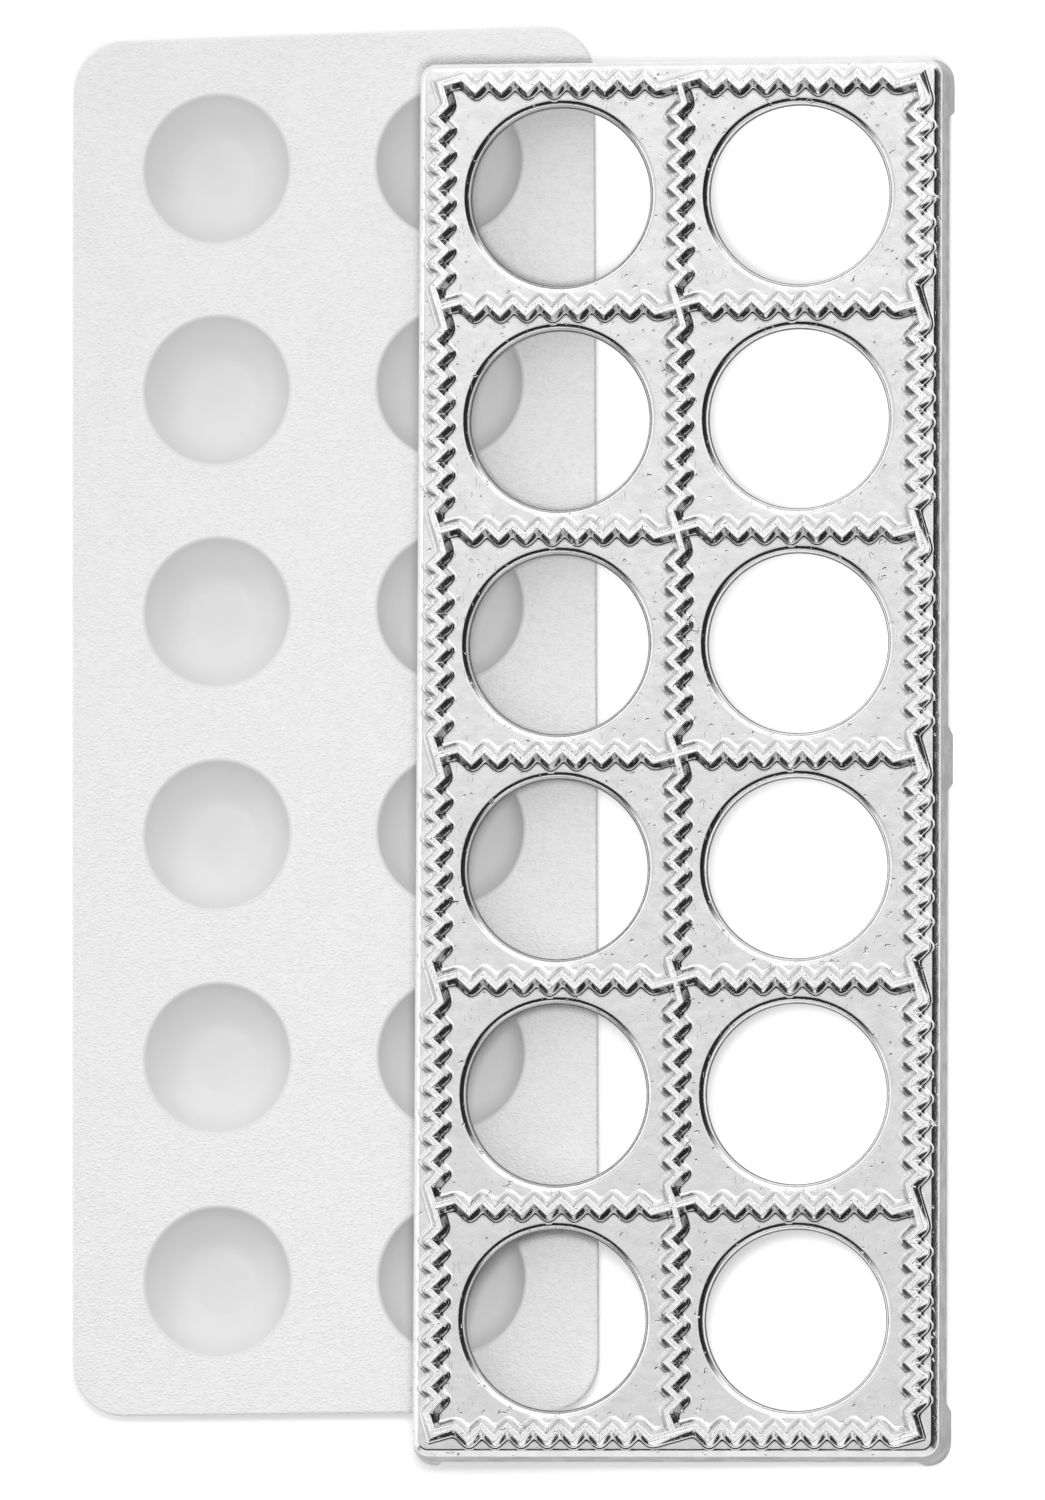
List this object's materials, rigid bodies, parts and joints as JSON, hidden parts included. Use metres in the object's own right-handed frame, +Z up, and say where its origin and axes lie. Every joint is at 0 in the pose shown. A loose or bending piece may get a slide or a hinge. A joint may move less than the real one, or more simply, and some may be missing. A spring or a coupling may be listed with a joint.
{
  "type": "ravioli mold",
  "caption": "Cast metal frame with round holes and zigzag crimping ridges on short feet, leaning on its thin white moulded press plate with round dimples; rests on a worktop.",
  "frame": {"origin": "middle of the whole on the worktop it rests on", "axes": "+Z up, +Y along the long side away from the viewer, +X to the right, across"},
  "size_m": [0.1904, 0.306, 0.0257],
  "materials": {
    "cast_metal": "bright satin-polished casting with a faint mottle",
    "white_plastic": "white satin moulding with a fine leather grain, smooth in the dimples"
  },
  "bodies": {
    "root": {"cutting_frame": "cast_metal", "press_plate": "white_plastic"}
  },
  "joints": []
}
